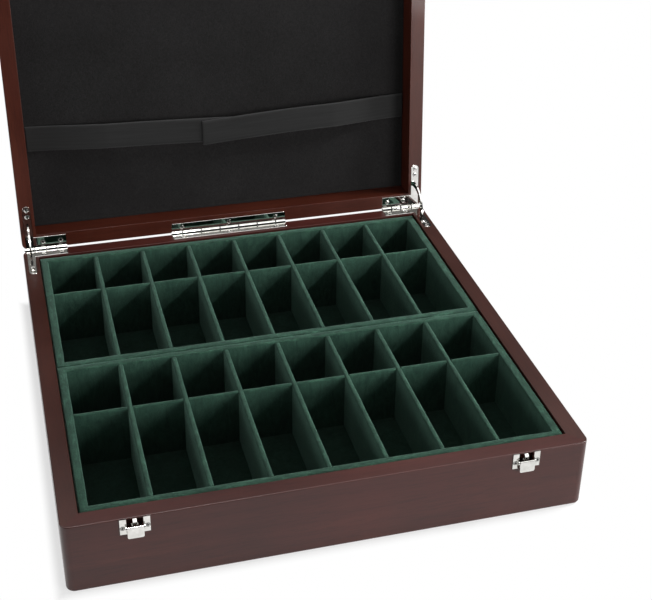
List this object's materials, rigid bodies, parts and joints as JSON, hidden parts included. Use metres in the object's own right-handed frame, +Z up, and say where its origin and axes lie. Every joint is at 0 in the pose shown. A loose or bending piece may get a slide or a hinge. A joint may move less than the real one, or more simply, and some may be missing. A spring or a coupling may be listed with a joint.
{
  "type": "chess box with hinged lid",
  "caption": "Square wooden games box with a lid on corner hinges with stays, velvet trays of compartments, spring catches and a strap across the felt-lined lid.",
  "frame": {"origin": "centre of the underside of the base", "axes": "+X to the right along the hinge, +Y to the back where the hinges are, +Z up"},
  "size_m": [0.43, 0.5067, 0.4959],
  "materials": {
    "mahogany": "satin lacquer, dark mahogany",
    "panel_board": "stained board",
    "green_velvet": "flocked velvet over board",
    "black_felt": "matt felt over board",
    "black_webbing": "woven tape",
    "nickel": "bright nickel plate",
    "spring_steel": "bright wire"
  },
  "bodies": {
    "base": {"base_front_wall": "mahogany", "base_right_wall": "mahogany", "base_back_wall": "mahogany", "base_left_wall": "mahogany", "base_bottom_panel": "panel_board", "rear_tray_front_wall": "green_velvet", "rear_tray_back_wall": "green_velvet", "rear_tray_left_wall": "green_velvet", "rear_tray_right_wall": "green_velvet", "rear_tray_floor": "green_velvet", "rear_tray_dividers": "green_velvet", "rear_tray_cross_divider": "green_velvet", "front_tray_front_wall": "green_velvet", "front_tray_back_wall": "green_velvet", "front_tray_left_wall": "green_velvet", "front_tray_right_wall": "green_velvet", "front_tray_floor": "green_velvet", "front_tray_dividers": "green_velvet", "front_tray_cross_divider": "green_velvet", "centre_hinge_base_leaf": "nickel", "centre_hinge_base_screws": "nickel", "centre_hinge_pin": "nickel", "corner_hinge_left_base_plate": "nickel", "corner_hinge_left_base_screws": "nickel", "corner_hinge_left_pin": "nickel", "latch_left_plate": "nickel", "latch_left_screws": "nickel", "latch_left_pin": "nickel", "corner_hinge_right_base_plate": "nickel", "corner_hinge_right_base_screws": "nickel", "corner_hinge_right_pin": "nickel", "latch_right_plate": "nickel", "latch_right_screws": "nickel", "latch_right_pin": "nickel"},
    "lid": {"lid_front_wall": "mahogany", "lid_right_wall": "mahogany", "lid_back_wall": "mahogany", "lid_left_wall": "mahogany", "lid_top_panel": "mahogany", "lid_lining": "black_felt", "centre_hinge_lid_leaf": "nickel", "centre_hinge_lid_screws": "nickel", "corner_hinge_left_lid_plate": "nickel", "corner_hinge_left_lid_screws": "nickel", "keeper_left": "nickel", "keeper_left_screws": "nickel", "strap_left": "black_webbing", "corner_hinge_right_lid_plate": "nickel", "corner_hinge_right_lid_screws": "nickel", "keeper_right": "nickel", "keeper_right_screws": "nickel", "strap_right": "black_webbing"},
    "stay_arm_left": {"stay_arm_left": "nickel"},
    "latch_lever_left": {"latch_left_lever": "nickel", "latch_left_spring": "spring_steel"},
    "stay_arm_right": {"stay_arm_right": "nickel"},
    "latch_lever_right": {"latch_right_lever": "nickel", "latch_right_spring": "spring_steel"}
  },
  "joints": [
    {"name": "lid_hinge", "type": "hinge", "parent": "base", "child": "lid", "pos_m": [0, 0.2158, 0.06525], "axis": [1, 0, 0], "range_deg": [0, 95.3]},
    {"name": "stay_left_slide", "type": "hinge", "parent": "base", "child": "stay_arm_left", "pos_m": [0, 0.2158, 0.06525], "axis": [1, 0, 0], "range_deg": [0, 47.65]},
    {"name": "stay_right_slide", "type": "hinge", "parent": "base", "child": "stay_arm_right", "pos_m": [0, 0.2158, 0.06525], "axis": [1, 0, 0], "range_deg": [0, 47.65]},
    {"name": "latch_left_pivot", "type": "hinge", "parent": "base", "child": "latch_lever_left", "pos_m": [-0.1593, -0.2174, 0.0568], "axis": [-1, 0, 0], "range_deg": [0, 25], "stiffness_Nm_per_rad": 0.02, "springref_deg": -20.05},
    {"name": "latch_right_pivot", "type": "hinge", "parent": "base", "child": "latch_lever_right", "pos_m": [0.1593, -0.2174, 0.0568], "axis": [-1, 0, 0], "range_deg": [0, 25], "stiffness_Nm_per_rad": 0.02, "springref_deg": -20.05}
  ],
  "couplings": [
    {"joint": "stay_left_slide", "follows": "lid_hinge", "ratio": 0.5},
    {"joint": "stay_right_slide", "follows": "lid_hinge", "ratio": 0.5}
  ]
}
